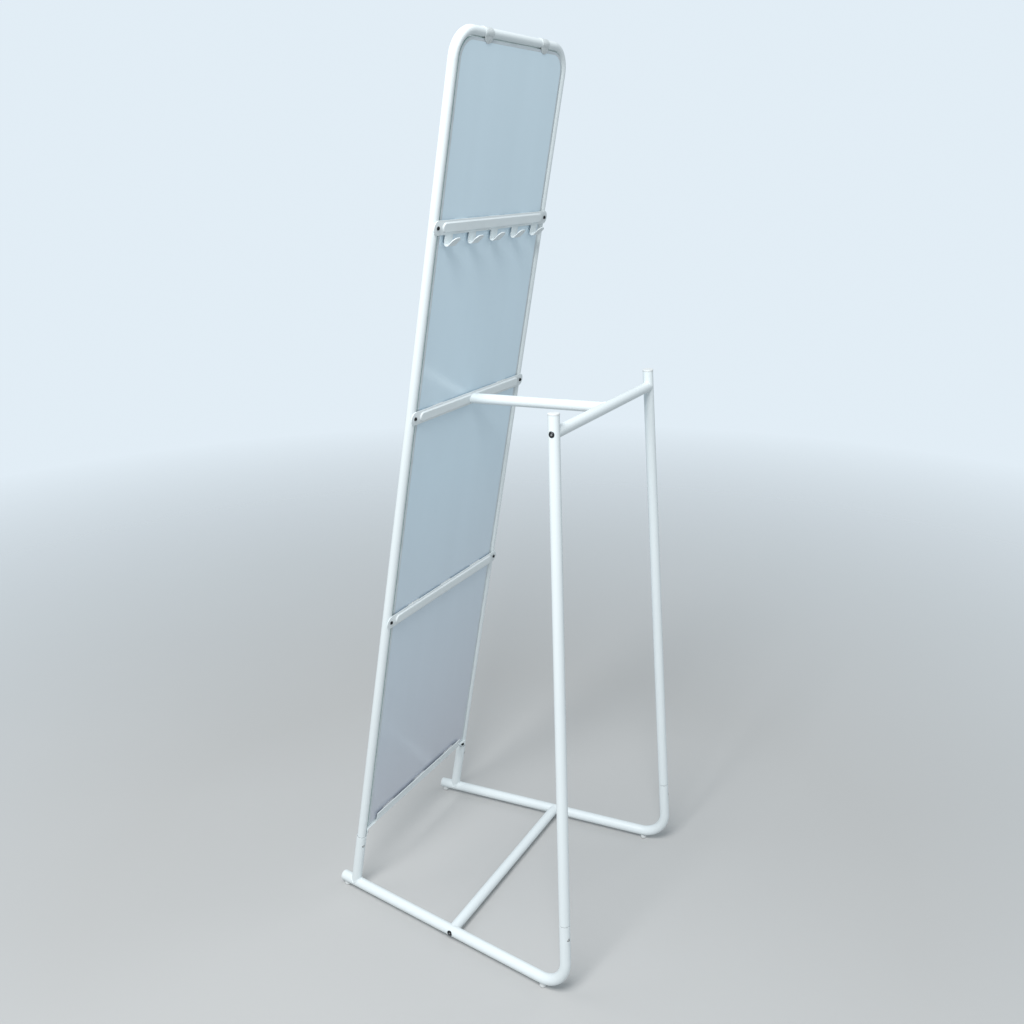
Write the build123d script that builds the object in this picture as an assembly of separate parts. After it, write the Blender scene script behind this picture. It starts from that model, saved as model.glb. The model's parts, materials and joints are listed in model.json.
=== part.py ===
from build123d import *
import os
from math import sin, cos, tan, radians

# Standing mirror with a clothes rack behind it.  Millimetres, +Z up, floor at Z = 0.
# The mirror faces -Y, the rack stands behind it towards +Y, and left is -X.
# The origin is under the middle of the bounding box, on the floor.

# ---- driving dimensions -------------------------------------------------------------------
HEIGHT = 1600.0              # floor to the top of the mirror frame
FRAME_TUBE = 16.5            # outside diameter of the mirror frame tube
BASE_TUBE = 19.0             # outside diameter of the base, upright and rail tubes
WALL = 1.5                   # wall of every tube
LEAN = 10.0                  # backward lean of the mirror, degrees
FOOT_HEIGHT = 7.0            # gap between the floor and the runners
FRONT_Y = -264.6             # front face of the runner end plugs
LEG_SETBACK = 32.8           # plug face to the mirror leg, along Y
CORNER_DEPTH = 521.8         # plug face to where runner and upright axes would cross
LEG_X = 178.3                # half the spacing of the mirror legs
BASE_REAR_X = 230.6          # half the spacing of the runners at their rear corner
RACK_TOP_X = 189.5           # half the spacing of the uprights at their tops
RACK_TOP = 1018.0            # floor to the top of the upright caps
RACK_LEAN = 2.45             # forward lean of the uprights, degrees
RAIL_DROP = 32.5             # rack rail axis below the top of the caps
BEND = 50.0                  # centreline radius of the runner bends
FRAME_BEND = 44.5            # centreline radius of the mirror frame corners
FRONT_SEAM = 110.0           # runner axis to the lip of the front stubs, along the leg
REAR_SEAM = 124.0            # runner axis to the seam under each upright
PLUG_IN = 48.0               # how far each tube reaches into the tube below
SEAM_GAP = 1.0               # open groove between each riser and its upright
FRONT_SEAM_SCREW = 20.0      # lip of a front stub to the screw below it
REAR_SEAM_SCREW = 24.5       # seam of an upright to the screw below it
SEAM_TURN = 20.0             # seam screws point back and this far outward, degrees
BAR_LEVELS = {"hook_bar": 1297.0, "middle_crossbar": 974.5, "lower_crossbar": 584.0}
BAR_HEIGHT = 24.0
BAR_LENGTH = 378.0
SHEET = 1.5                  # thickness of the pressed steel strips
CHANNEL_HEIGHT = 17.5        # raised channel along each strip
CHANNEL_LENGTH = 332.0
CHANNEL_RISE = 2.6
HOOK_PITCH = 71.5
HOOK_WIDTH = 22.5
HOOK_RADIUS = 5.0            # outside radius of the curl
HOOK_TURN = 142.0            # how far the curl turns, degrees
HOOK_DROP = 25.5             # bar centre to where the curl begins
HOOK_TAIL = 18.5             # straight tail beyond the curl
HOOK_TIP_ROUND = 8.5
GLASS = 4.0                  # mirror glass thickness
GLASS_BACK = 5.5             # leg axis plane to the back of the glass
SIDE_GAP = 0.5               # gap between the glass and the frame's legs
TOP_GAP = 0.3                # gap between the glass and the frame's top tube
GLASS_CORNER = 2.0           # rounding of the lower corners
GLASS_BOTTOM = 127.0         # runner axis to the lower edge of the glass, along the leg
FILM = 0.25
FILM_INSET = 4.0
LIP_HEIGHT = 19.0            # rear upstand of the bottom rail above the glass edge
LIP_HALF = 147.0             # half the length of that upstand
LIP_FLARE = 2.0              # how far its upper edge is turned out, at 45 degrees
FRONT_LIP = 6.0              # front lip of the bottom rail above the glass edge
CLIP_X = 93.0                # half the spacing of the top clips
CLIP_WIDTH = 24.0
CLIP_THICK = 0.9
CLIP_TONGUE = 16.0           # frame tube axis to the tip of a clip's rear tongue
CLIP_LIP = 14.0              # frame tube axis to the tip of a clip's front lip
FOOT_D = 12.0
FRONT_FOOT = 9.5             # plug face to the front foot
REAR_FOOT = 474.5            # plug face to the rear foot
FLOOR_BAR = 273.6            # plug face to the floor crossbar

# ---- sizes worked out from them -----------------------------------------------------------
FR = FRAME_TUBE / 2
BR = BASE_TUBE / 2
RUNNER_Z = FOOT_HEIGHT + BR
LEG_Y = FRONT_Y + LEG_SETBACK
CORNER_Y = FRONT_Y + CORNER_DEPTH
LEG_TOP = (HEIGHT - FR - RUNNER_Z) / cos(radians(LEAN))
SPLAY = (BASE_REAR_X - LEG_X) / (CORNER_Y - LEG_Y)
RACK_RISE = RACK_TOP - RUNNER_Z
RACK_TOP_Y = CORNER_Y - RACK_RISE * tan(radians(RACK_LEAN))
RAIL_SHARE = (RACK_RISE - RAIL_DROP) / RACK_RISE
STRIP_FACE = FR + SHEET      # leg axis plane to the back of the strips
GLASS_HALF = LEG_X - FR - SIDE_GAP
GLASS_TOP = LEG_TOP - FR - TOP_GAP
GAP = 0.15                   # clearance between parts that slide together
OVERLAP = 1.0                # how far the pieces of one pressing run into each other
COPE = BR + 0.06             # radius of the saddle cut where one tube meets another
BORE = BR - WALL             # inside radius of the base tubes
SPIGOT = BORE - GAP          # outside radius of what plugs into a base tube

# ---- fasteners ----------------------------------------------------------------------------
BOLT_D = 6.0                 # bolts through the runners and uprights
BOLT_HEAD = 9.8
BOLT_RISE = 2.6
BOLT_SOCKET = 5.6            # across corners, as for every socket here
BOLT_HOLE = 3.2              # radius of the bolts' clearance holes
DIMPLE_D = 11.2              # pressed dimple round each bolt head
BOLT_SEAT = BR - 1.6         # tube axis to the flat of that dimple
SEAM_D = 3.5                 # screws that lock each plugged-in tube
SEAM_HEAD = 4.8
SEAM_RISE = 2.4
SEAM_SOCKET = 2.5
SEAM_LENGTH = 10.0
SEAM_CLEAR = 0.55            # round each seam screw's head, in the outer tube
STUD_HOLE = 2.6              # radius of the holes for the stems of the feet
CROSS_D = 4.0                # screws with a cross recess
CROSS_HEAD = 6.4
CROSS_HOLE = CROSS_D / 2 + 0.1
BAR_SCREW_LENGTH = 12.0      # screws that hold the strips to the legs
BAR_SCREW_RISE = 2.5
RAIL_SCREW_LENGTH = 9.0      # screws that hold the bottom rail to the legs
RAIL_SCREW_RISE = 1.7
FACE_BOLT_D = 5.0            # bolt through the middle crossbar into the depth tube
FACE_BOLT_HEAD = 8.5
FACE_BOLT_RISE = 2.2
FACE_BOLT_LENGTH = 14.0
FACE_BOLT_SOCKET = 3.0
DOME_EDGE = 0.35             # share of a button head's rise that stands straight
DOME_WIDE = 0.64             # share of the head's radius where its dome has risen by
DOME_HIGH = 0.86             # this share of the rise
SOCKET_DEPTH = 0.7           # share of the rise

# the leaning plane of the mirror: X across, Y up along the legs, Z out of its back
MIRROR = Plane(origin=(0, LEG_Y, RUNNER_Z), x_dir=(-1, 0, 0),
               z_dir=(0, cos(radians(LEAN)), -sin(radians(LEAN))))


def on_mirror(x, up, back):
    """World point at x, a distance up the legs and a distance behind their axis plane."""
    return MIRROR.from_local_coords(Vector(-x, up, back))


def runner_x(y):
    """Half spacing of the splayed runners at y."""
    return LEG_X + SPLAY * (y - LEG_Y)


def rack_point(side, share):
    """Point on an upright's axis, from 0 at the runner corner to 1 at its top."""
    x = BASE_REAR_X + (RACK_TOP_X - BASE_REAR_X) * share
    return Vector(side * x, CORNER_Y + (RACK_TOP_Y - CORNER_Y) * share, RUNNER_Z + RACK_RISE * share)


# ---- tools --------------------------------------------------------------------------------
def rod(start, end, radius):
    """Solid round bar between two points."""
    start, end = Vector(*start), Vector(*end)
    return extrude(Plane(origin=start, z_dir=end - start) * Circle(radius), amount=(end - start).length)


def pipe(start, end, radius, wall=WALL):
    """Straight tube between two points."""
    return rod(start, end, radius) - rod(start, end, radius - wall)


def bent_rod(points, bend, radius):
    path = FilletPolyline(*points, radius=bend)
    return sweep(Plane(origin=path @ 0, z_dir=path % 0) * Circle(radius), path=path)


def bent_pipe(points, bend, radius, wall=WALL):
    """Tube along straight runs joined by tangent bends."""
    return bent_rod(points, bend, radius) - bent_rod(points, bend, radius - wall)


def button_screw(seat, outward, head, rise, shank, length, socket):
    """Domed screw with a hexagon socket; seat is the point under its head."""
    plane = Plane(origin=seat, z_dir=outward)
    radius, edge = head / 2, rise * DOME_EDGE
    side = Polyline((0, 0), (radius, 0), (radius, edge), close=False)
    dome = ThreePointArc((radius, edge), (radius * DOME_WIDE, rise * DOME_HIGH), (0, rise))
    profile = make_face(side + dome + Line((0, rise), (0, 0)))
    body = revolve(Plane.XZ * profile, axis=Axis.Z)
    body += extrude(Circle(shank / 2), amount=-length)
    body -= Pos(0, 0, rise * (1 - SOCKET_DEPTH)) * extrude(RegularPolygon(socket / 2, 6), amount=rise)
    return plane * chamfer(body.faces().sort_by(Axis.Z)[0].edges(), shank / 8)


def biggest(shape):
    """The largest solid of a cut, without loose offcuts."""
    return shape.solids().sort_by(SortBy.VOLUME)[-1]


def both(make):
    """The left and right forms of one piece."""
    return {"left": make(-1), "right": make(1)}


nodes = {}

# ---- base: splayed runners, each bent up into a riser at the back ---------------------------
up_right = (rack_point(1, 1) - rack_point(1, 0)).normalized()


def upright_axis(side):
    return Vector(side * up_right.X, up_right.Y, up_right.Z)


def seam_point(side, above=0.0):
    return rack_point(side, 0) + upright_axis(side) * (REAR_SEAM + above)


def runner_point(side, depth, rise=0.0):
    """Point on a runner's axis, at a depth behind the plug face."""
    y = FRONT_Y + depth
    return Vector(side * runner_x(y), y, RUNNER_Z + rise)


def seam_direction(side, axis):
    """Unit vector square to a tube's axis that points back and turned outward."""
    aim = Vector(side * sin(radians(SEAM_TURN)), cos(radians(SEAM_TURN)), 0)
    return (aim - axis * aim.dot(axis)).normalized()


PLUG_FLANGE = 2.5
PLUG_EDGE = 1.4              # rounding of the face
PLUG_STEM = 14.0
leg_axis = on_mirror(0, 1, 0) - on_mirror(0, 0, 0)
leg_rear = on_mirror(0, 0, 1) - on_mirror(0, 0, 0)


def head_hole(spot, outward):
    """Clearance for a seam screw's head, through one wall of a tube."""
    return rod(spot, spot + outward * 2 * BR, SEAM_HEAD / 2 + SEAM_CLEAR)


def shank_hole(spot, outward):
    return rod(spot, spot + outward * 2 * BR, SEAM_D / 2 + 0.1)


def seat_bolt(tube, skin, spot, outward):
    """Presses a dimple for a bolt head into a tube and drills it; skin is the tube without its bore."""
    dish = rod(spot + outward * (BOLT_SEAT - WALL), spot + outward * BOLT_SEAT, DIMPLE_D / 2 + WALL)
    tube += dish & skin
    tube -= rod(spot + outward * BOLT_SEAT, spot + outward * 2 * BR, DIMPLE_D / 2)
    return tube - rod(spot - outward * 2 * BR, spot + outward * 2 * BR, BOLT_HOLE)


LIP_ROUND = 0.5              # softened rims where one tube enters another


def runner(side):
    route = [runner_point(side, PLUG_FLANGE), rack_point(side, 0), seam_point(side)]
    body = bent_pipe(route, BEND, BR)
    rims = body.edges().sort_by(Axis.Z)[-2:]
    body = fillet(rims.sort_by(SortBy.LENGTH)[-1], LIP_ROUND)
    for depth in (FRONT_FOOT, REAR_FOOT):
        spot = runner_point(side, depth)
        body -= rod(spot, spot - Vector(0, 0, 2 * BR), STUD_HOLE)
    spot = seam_point(side, -REAR_SEAM_SCREW)
    body -= head_hole(spot, seam_direction(side, upright_axis(side)))
    body = seat_bolt(body, bent_rod(route, BEND, BR), runner_point(side, FLOOR_BAR), Vector(side, 0, 0))
    return biggest(body)


for name, piece in both(runner).items():
    nodes["runner_" + name] = piece


def front_stub(side):
    """Short tube welded on the runner; the mirror leg plugs into it."""
    root, lip = on_mirror(side * LEG_X, 0, 0), on_mirror(side * LEG_X, FRONT_SEAM, 0)
    body = pipe(root, lip, BR, BR - FR - 2 * GAP)
    body -= rod(runner_point(side, 0), runner_point(side, 2 * LEG_SETBACK), BR)
    body = biggest(body)
    rims = body.edges().sort_by(Axis.Z)[-2:].sort_by(SortBy.LENGTH)
    body = chamfer(rims[0], LIP_ROUND * 0.8)
    rim = body.edges().sort_by(Axis.Z)[-2:].sort_by(SortBy.LENGTH)[-1]
    body = chamfer(rim, LIP_ROUND * 0.6)
    spot = on_mirror(side * LEG_X, FRONT_SEAM - FRONT_SEAM_SCREW, 0)
    body -= head_hole(spot, seam_direction(side, leg_axis))
    return biggest(body)


for name, piece in both(front_stub).items():
    nodes["front_stub_" + name] = piece


STEM_WALL = 2.0              # wall of the plastic stems inside the tubes


def push_in(radius, thick, edge, stem):
    """Round plastic head with a hollow stem that fills the bore of a base tube; head up +Z."""
    head = extrude(Circle(radius), amount=thick)
    head = fillet(head.edges().sort_by(Axis.Z)[-1], edge)
    body = head + extrude(Circle(SPIGOT), amount=-stem)
    return body - Pos(0, 0, -stem) * extrude(Circle(SPIGOT - STEM_WALL), amount=stem - STEM_WALL)


def end_plug(side):
    """Plastic plug in the open front end of a runner."""
    plane = Plane(origin=runner_point(side, PLUG_FLANGE), z_dir=(side * -SPLAY, -1, 0))
    body = plane * push_in(BR, PLUG_FLANGE, PLUG_EDGE, PLUG_STEM)
    spot = runner_point(side, FRONT_FOOT)
    return body - rod(spot, spot - Vector(0, 0, BR), STUD_HOLE + GAP)


for name, piece in both(end_plug).items():
    nodes["runner_end_plug_" + name] = piece


FOOT_EDGE = 2.4
FOOT_HIDDEN = 4.5            # how far a foot's stem reaches into its runner


def foot(side, depth):
    """Plastic stud pushed into the underside of a runner."""
    spot = runner_point(side, depth)
    pad = Pos(spot.X, spot.Y, 0) * extrude(Circle(FOOT_D / 2), amount=FOOT_HEIGHT + FOOT_HIDDEN)
    pad = fillet(pad.edges().sort_by(Axis.Z)[0], FOOT_EDGE)
    pad -= rod(runner_point(side, depth - FOOT_D), runner_point(side, depth + FOOT_D), BR)
    pad = pad.solids().sort_by(Axis.Z)[0]
    base = Vector(spot.X, spot.Y, FOOT_HEIGHT)
    stem = rod(base - Vector(0, 0, FOOT_EDGE), base + Vector(0, 0, FOOT_HIDDEN), STUD_HOLE - GAP)
    return pad + stem


for name in ("left", "right"):
    side = -1 if name == "left" else 1
    nodes["foot_front_" + name] = foot(side, FRONT_FOOT)
    nodes["foot_rear_" + name] = foot(side, REAR_FOOT)


# ---- tubes held between two others by a bolt at each end ------------------------------------
INSERT_LENGTH = 18.0
INSERT_START = BR + 1.0
INSERT_WALL = SPIGOT - BOLT_D / 2 - 0.05
BOLT_LENGTH = BOLT_SEAT + INSERT_START + INSERT_LENGTH - 3.0


def cross_tube(ends, neighbours):
    """Tube coped round the tubes at both of its ends."""
    body = pipe(ends[0], ends[1], BR)
    for start, end in neighbours:
        body -= rod(start, end, COPE)
    return biggest(body)


def inserts(ends):
    """Threaded plugs inside the two ends of a tube."""
    group = []
    for here, there in (ends, ends[::-1]):
        inward = (there - here).normalized()
        start = here + inward * INSERT_START
        group.append(pipe(start, start + inward * INSERT_LENGTH, SPIGOT, INSERT_WALL))
    return Compound(children=group)


def bolts(ends):
    group = []
    for here, there in (ends, ends[::-1]):
        outward = (here - there).normalized()
        seat = here + outward * BOLT_SEAT
        group.append(button_screw(seat, outward, BOLT_HEAD, BOLT_RISE, BOLT_D, BOLT_LENGTH, BOLT_SOCKET))
    return Compound(children=group)


floor_ends = [runner_point(-1, FLOOR_BAR), runner_point(1, FLOOR_BAR)]
runner_lines = [(runner_point(s, FLOOR_BAR - 60), runner_point(s, FLOOR_BAR + 60)) for s in (-1, 1)]
nodes["floor_crossbar"] = cross_tube(floor_ends, runner_lines)
nodes["floor_crossbar_inserts"] = inserts(floor_ends)
nodes["floor_crossbar_bolts"] = bolts(floor_ends)

# ---- rack: two uprights, the rail between their tops and the depth tube ---------------------
CAP_THICK = 3.0
CAP_EDGE = 0.9
CAP_STEM = 12.0
CAP_LIP = 0.4                # how far the caps stand out from the uprights
NECK = 2.5                   # length of the shoulder where an upright narrows to its spigot
rail_ends = [rack_point(-1, RAIL_SHARE), rack_point(1, RAIL_SHARE)]


def upright(side):
    """Tube with its lower end drawn down to a spigot that enters the riser."""
    axis = upright_axis(side)
    shoulder, top = seam_point(side, SEAM_GAP), rack_point(side, 1) - axis * CAP_THICK
    body = pipe(shoulder, top, BR)
    rims = body.edges().sort_by(Axis.Z)[0:2]
    body = fillet(rims.sort_by(SortBy.LENGTH)[-1], LIP_ROUND)
    body += pipe(shoulder, shoulder + axis * NECK, BORE + GAP, 2 * GAP + WALL)
    body += pipe(seam_point(side, -PLUG_IN), shoulder + axis * NECK, SPIGOT)
    spot = seam_point(side, -REAR_SEAM_SCREW)
    body -= shank_hole(spot, seam_direction(side, axis))
    skin = rod(shoulder, top, BR)
    return biggest(seat_bolt(body, skin, rack_point(side, RAIL_SHARE), Vector(side, 0, 0)))


for name, piece in both(upright).items():
    nodes["upright_" + name] = piece


def upright_cap(side):
    """Flat plastic cap in the top of an upright."""
    plane = Plane(origin=rack_point(side, 1) - upright_axis(side) * CAP_THICK, z_dir=upright_axis(side))
    return plane * push_in(BR + CAP_LIP, CAP_THICK, CAP_EDGE, CAP_STEM)


for name, piece in both(upright_cap).items():
    nodes["upright_cap_" + name] = piece

upright_lines = [(rack_point(s, RAIL_SHARE - 0.05), rack_point(s, RAIL_SHARE + 0.025)) for s in (-1, 1)]
nodes["rack_rail"] = cross_tube(rail_ends, upright_lines)
nodes["rack_rail_inserts"] = inserts(rail_ends)
nodes["rack_rail_bolts"] = bolts(rail_ends)

# ---- mirror frame: one tube bent into an inverted U ------------------------------------------
leg_foot = FRONT_SEAM - PLUG_IN
corners = [(LEG_X, leg_foot), (LEG_X, LEG_TOP), (-LEG_X, LEG_TOP), (-LEG_X, leg_foot)]
frame = bent_pipe([on_mirror(x, up, 0) for x, up in corners], FRAME_BEND, FR)
SADDLE_ANGLE = 45.0          # the bottom rail's flanges sit on the inner rear of the legs, degrees
RAIL_SCREW_UP = GLASS_BOTTOM - 10.0


def saddle_direction(side):
    """Direction from a leg's axis through the bottom rail's screw, inward and backward."""
    angle = radians(SADDLE_ANGLE)
    return Vector(-side * cos(angle), 0, 0) + leg_rear * sin(angle)


for side in (-1, 1):
    for level in BAR_LEVELS.values():
        spot = on_mirror(side * LEG_X, level, 0)
        frame -= rod(spot, spot + leg_rear * 2 * FR, CROSS_HOLE)
    spot = on_mirror(side * LEG_X, FRONT_SEAM - FRONT_SEAM_SCREW, 0)
    frame -= shank_hole(spot, seam_direction(side, leg_axis))
    spot = on_mirror(side * LEG_X, RAIL_SCREW_UP, 0)
    frame -= rod(spot, spot + saddle_direction(side) * 2 * FR, CROSS_HOLE)
nodes["mirror_frame"] = biggest(frame)

# ---- glass, its safety film and the strips across its back -----------------------------------
def pane(inset, back, thick):
    """Sheet inside the frame with the frame's rounded upper corners."""
    low, high, half = GLASS_BOTTOM + inset, GLASS_TOP - inset, GLASS_HALF - inset
    round_off = FRAME_BEND - FR - SIDE_GAP - inset
    outline = Pos(0, (low + high) / 2) * Rectangle(2 * half, high - low)
    upper = outline.vertices().group_by(Axis.Y)[-1]
    outline = fillet(upper, round_off)
    lower = outline.vertices().group_by(Axis.Y)[0]
    outline = fillet(lower, GLASS_CORNER)
    return MIRROR * (Pos(0, 0, back - thick) * extrude(outline, amount=thick))


nodes["mirror_glass"] = pane(0, GLASS_BACK, GLASS)
nodes["safety_film"] = pane(FILM_INSET, GLASS_BACK + FILM, FILM)


CHANNEL_SLOPE = 28.0         # lean of the channel's sides, degrees
CHANNEL_ROUND = 0.8


def strip(level):
    """Pressed steel strip with rounded ends and a raised channel, flat on the legs' backs."""
    plate = extrude(SlotOverall(BAR_LENGTH, BAR_HEIGHT), amount=SHEET)
    crown = extrude(SlotOverall(CHANNEL_LENGTH, CHANNEL_HEIGHT), amount=CHANNEL_RISE, taper=CHANNEL_SLOPE)
    inside = SlotOverall(CHANNEL_LENGTH - 2 * SHEET, CHANNEL_HEIGHT - 2 * SHEET)
    body = plate + Pos(0, 0, SHEET) * crown
    body = fillet(body.faces().sort_by(Axis.Z)[-1].outer_wire().edges(), CHANNEL_ROUND)
    body -= extrude(inside, amount=CHANNEL_RISE, taper=CHANNEL_SLOPE)
    for x in (-LEG_X, LEG_X):
        body -= Pos(x, 0, 0) * extrude(Circle(CROSS_HOLE), amount=SHEET)
    return Pos(0, level, FR) * body


def hook(x):
    """Tab from the bar's lower edge that curls back and up into a rounded tail."""
    inner = HOOK_RADIUS - SHEET
    half_turn = radians(HOOK_TURN / 2)
    full_turn = radians(HOOK_TURN)
    root = OVERLAP - BAR_HEIGHT / 2

    def curl(radius, angle):
        return (HOOK_RADIUS - radius * cos(angle), -HOOK_DROP - radius * sin(angle))

    def tip(radius):
        back, up = curl(radius, full_turn)
        return (back + HOOK_TAIL * sin(full_turn), up - HOOK_TAIL * cos(full_turn))

    outline = Line((0, root), (0, -HOOK_DROP))
    outline += ThreePointArc((0, -HOOK_DROP), curl(HOOK_RADIUS, half_turn), curl(HOOK_RADIUS, full_turn))
    outline += Polyline(curl(HOOK_RADIUS, full_turn), tip(HOOK_RADIUS), tip(inner), curl(inner, full_turn))
    outline += ThreePointArc(curl(inner, full_turn), curl(inner, half_turn), (SHEET, -HOOK_DROP))
    outline += Polyline((SHEET, -HOOK_DROP), (SHEET, root), (0, root))
    side_view = Plane(origin=(HOOK_WIDTH / 2, 0, 0), x_dir=(0, 0, 1), z_dir=(-1, 0, 0))
    band = extrude(side_view * make_face(outline), amount=HOOK_WIDTH)
    short = band.edges().filter_by(lambda edge: edge.length < 1.01 * SHEET)
    ends = short.filter_by(lambda edge: edge.center().Z > 2 * SHEET)
    return Pos(x, 0, 0) * fillet(ends, HOOK_TIP_ROUND)


bar = strip(BAR_LEVELS["hook_bar"])
for count in range(-2, 3):
    bar += Pos(0, BAR_LEVELS["hook_bar"], FR) * hook(count * HOOK_PITCH)
nodes["hook_bar"] = MIRROR * bar
nodes["lower_crossbar"] = MIRROR * strip(BAR_LEVELS["lower_crossbar"])
nodes["middle_crossbar"] = MIRROR * strip(BAR_LEVELS["middle_crossbar"])

# ---- depth tube from the rack rail to the middle crossbar -----------------------------------
channel_face = STRIP_FACE + CHANNEL_RISE
tube_start = on_mirror(0, BAR_LEVELS["middle_crossbar"], channel_face)
tube_end = rack_point(1, RAIL_SHARE)
tube_end = Vector(0, tube_end.Y, tube_end.Z)
tube_axis = (tube_end - tube_start).normalized()
TUBE_INSERT = 16.0
INSERT_BORE = 2.55
CUTTER = 100.0               # size of the block that trims the tube flush with the channel
trimmer = Pos(0, BAR_LEVELS["middle_crossbar"], channel_face - CUTTER / 2) * Box(CUTTER, CUTTER, CUTTER)
trimmer = MIRROR * trimmer


def depth_tube():
    body = pipe(tube_start - tube_axis * BASE_TUBE, tube_end, BR) - trimmer
    return biggest(body - rod(rail_ends[0], rail_ends[1], COPE))


def depth_tube_insert():
    """Plug inside the front of the depth tube, bored for the bolt through the crossbar."""
    body = rod(tube_start - tube_axis * BASE_TUBE, tube_start + tube_axis * TUBE_INSERT, SPIGOT) - trimmer
    return biggest(body - rod(tube_start, tube_start + leg_rear * 2 * BASE_TUBE, INSERT_BORE))


nodes["depth_tube"] = depth_tube()
nodes["depth_tube_insert"] = depth_tube_insert()
seat = on_mirror(0, BAR_LEVELS["middle_crossbar"], channel_face - SHEET)
nodes["depth_tube_bolt"] = button_screw(
    seat, leg_rear * -1, FACE_BOLT_HEAD, FACE_BOLT_RISE, FACE_BOLT_D, FACE_BOLT_LENGTH, FACE_BOLT_SOCKET)
nodes["middle_crossbar"] -= rod(seat, seat + leg_rear * 2 * SHEET, INSERT_BORE)

# ---- bottom rail: folded channel under the glass, with a flange down each leg ----------------
RAIL_BACK = GLASS_BACK + 4.6
RAIL_FRONT = GLASS_BACK - GLASS - 1.8
FLANGE_WIDTH = 12.0
FLANGE_DROP = 14.0
RELIEF = 2.5                 # slot that frees each end of the upstand for folding
FOLD = 1.35                  # outside radius of the folds
UPSTAND_ROUND = 1.5
FLANGE_ROUND = 4.0


def side_face(outline, x, length):
    """Profile given as (behind, up) points, extruded across the mirror about x."""
    plane = Plane(origin=(x + length / 2, 0, 0), x_dir=(0, 0, 1), z_dir=(-1, 0, 0))
    return extrude(plane * make_face(outline), amount=length)


def leg_frame(side):
    """Plane tangent to the inner rear of a leg, X along the tangent, Y up the leg."""
    return Pos(-side * LEG_X, GLASS_BOTTOM, 0) * Rot(0, side * (90 - SADDLE_ANGLE), 0) * Pos(0, 0, FR)


def bottom_rail():
    high = GLASS_BOTTOM + LIP_HEIGHT
    shelf = GLASS_BOTTOM - SHEET
    slant = SHEET * cos(radians(45))
    crease = high - LIP_FLARE
    outline = Polyline(
        (RAIL_FRONT, GLASS_BOTTOM + FRONT_LIP), (RAIL_FRONT, shelf), (RAIL_BACK, shelf), (RAIL_BACK, crease),
        (RAIL_BACK + LIP_FLARE, high), (RAIL_BACK + LIP_FLARE - slant, high + slant),
        (RAIL_BACK - SHEET, crease + SHEET * tan(radians(22.5))), (RAIL_BACK - SHEET, GLASS_BOTTOM),
        (RAIL_FRONT + SHEET, GLASS_BOTTOM), (RAIL_FRONT + SHEET, GLASS_BOTTOM + FRONT_LIP), close=True)
    body = side_face(outline, 0, 2 * LIP_HALF)
    folds = body.edges().filter_by(Axis.X).group_by(Axis.Y)[0]
    body = fillet(folds, FOLD)
    tips = body.edges().filter_by(lambda edge: edge.length < 1.01 * SHEET and edge.center().Y > high)
    body = fillet(tips, UPSTAND_ROUND)
    start = LIP_HALF - OVERLAP
    reach = LEG_X - FR / cos(radians(SADDLE_ANGLE))
    for side in (-1, 1):
        corners = [(side * start, RAIL_FRONT), (side * (reach + RAIL_FRONT), RAIL_FRONT),
                   (side * (reach + RAIL_BACK), RAIL_BACK), (side * start, RAIL_BACK)]
        plane = Plane(origin=(0, shelf, 0), x_dir=(1, 0, 0), z_dir=(0, -1, 0))
        body += extrude(plane * Polygon(*corners, align=None), amount=-SHEET)
        flange = Pos(0, -FLANGE_DROP / 2, SHEET / 2) * Box(FLANGE_WIDTH, FLANGE_DROP, SHEET)
        flange = fillet(flange.edges().filter_by(Axis.Z).group_by(Axis.Y)[0], FLANGE_ROUND)
        hole = Pos(0, RAIL_SCREW_UP - GLASS_BOTTOM, 0) * extrude(Circle(CROSS_HOLE), amount=SHEET)
        body += leg_frame(side) * (flange - hole)
        body -= Pos(side * (LIP_HALF + RELIEF / 2), shelf, RAIL_BACK) * Box(RELIEF, 4 * SHEET, 4 * SHEET)
    return body


nodes["bottom_rail"] = MIRROR * bottom_rail()

# ---- clips that hold the top edge of the glass to the frame tube ------------------------------


CLIP_SLACK = 0.08            # between each tongue and the glass or its film
TONGUE_ROUND = CLIP_WIDTH * 0.38
LIP_CORNER = CLIP_WIDTH * 0.2
TIP_ZONE = 0.1               # how near a tip an edge must lie to count as its corner


def top_clip(x):
    """Plastic band round the top tube with a tongue on each face of the glass."""
    front = GLASS_BACK - GLASS - CLIP_SLACK
    rear = GLASS_BACK + FILM + CLIP_SLACK
    band = Circle(FR + CLIP_THICK)
    band += Pos(rear + CLIP_THICK / 2, -CLIP_TONGUE / 2) * Rectangle(CLIP_THICK, CLIP_TONGUE)
    band += Pos(front - CLIP_THICK / 2, -CLIP_LIP / 2) * Rectangle(CLIP_THICK, CLIP_LIP)
    band -= Circle(FR)
    band -= Pos((front + rear) / 2, -CLIP_TONGUE) * Rectangle(rear - front, 2 * CLIP_TONGUE)
    plane = Plane(origin=(CLIP_WIDTH / 2, LEG_TOP, 0), x_dir=(0, 0, 1), z_dir=(-1, 0, 0))
    clip = biggest(extrude(plane * band, amount=CLIP_WIDTH))
    corners = clip.edges().filter_by(Axis.Z)
    rear_corners = corners.filter_by(lambda edge: edge.center().Y < LEG_TOP - CLIP_TONGUE + TIP_ZONE)
    clip = fillet(rear_corners, TONGUE_ROUND)
    corners = clip.edges().filter_by(Axis.Z)
    front_corners = corners.filter_by(lambda edge: abs(edge.center().Y - LEG_TOP + CLIP_LIP) < TIP_ZONE)
    clip = fillet(front_corners, LIP_CORNER)
    return MIRROR * (Pos(-x, 0, 0) * clip)


nodes["top_clip_left"] = top_clip(-CLIP_X)
nodes["top_clip_right"] = top_clip(CLIP_X)

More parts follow.
